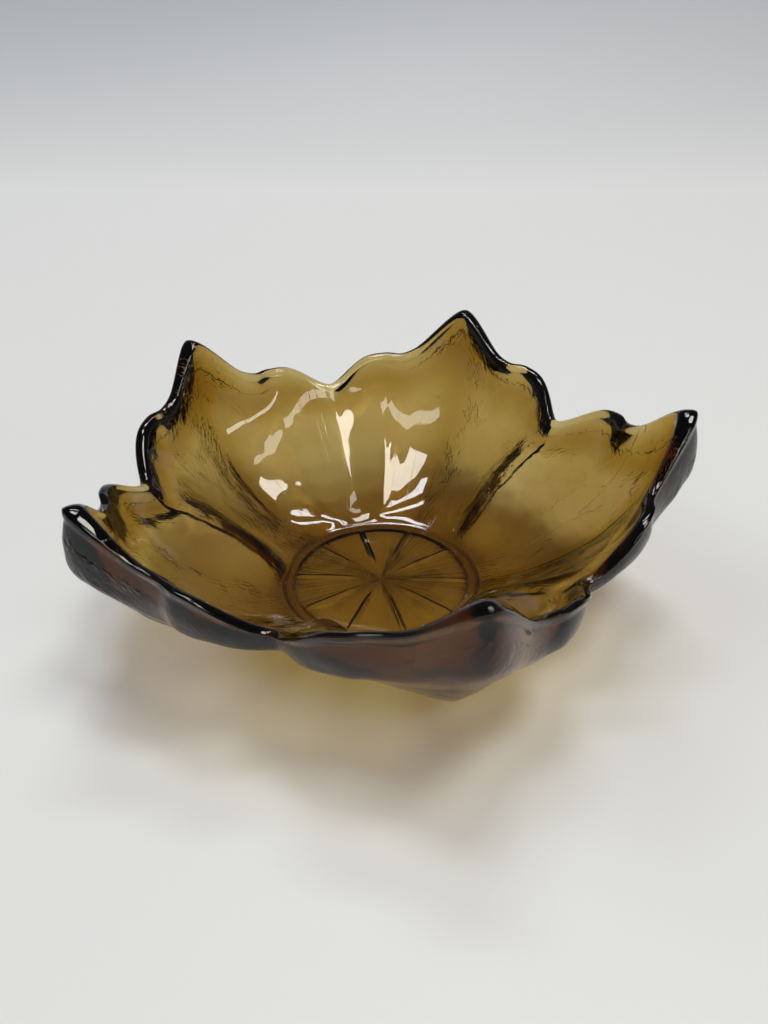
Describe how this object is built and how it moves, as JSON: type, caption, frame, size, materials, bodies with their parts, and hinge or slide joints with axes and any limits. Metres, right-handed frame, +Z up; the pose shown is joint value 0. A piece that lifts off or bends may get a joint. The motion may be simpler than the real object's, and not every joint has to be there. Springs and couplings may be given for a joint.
{
  "type": "petal candy dish",
  "caption": "Open round bowl of pressed amber-brown glass, shaped like a blossom of pointed, keeled petals with a rounded rim, on a low ring foot.",
  "frame": {"origin": "centre of the foot ring, in the plane that the dish stands on", "axes": "+Z is up, along the bowl's axis; +X points at the tip of one petal; +Y completes a right-handed frame"},
  "size_m": [0.183, 0.1873, 0.07],
  "materials": {
    "amber_glass": "clear tawny amber-brown pressed glass, smooth and glossy inside and on the fire-polished rim, satin with a fine bark-like relief outside, nearly black in the thick rim and folds"
  },
  "bodies": {
    "root": {"dish": "amber_glass"}
  },
  "joints": []
}
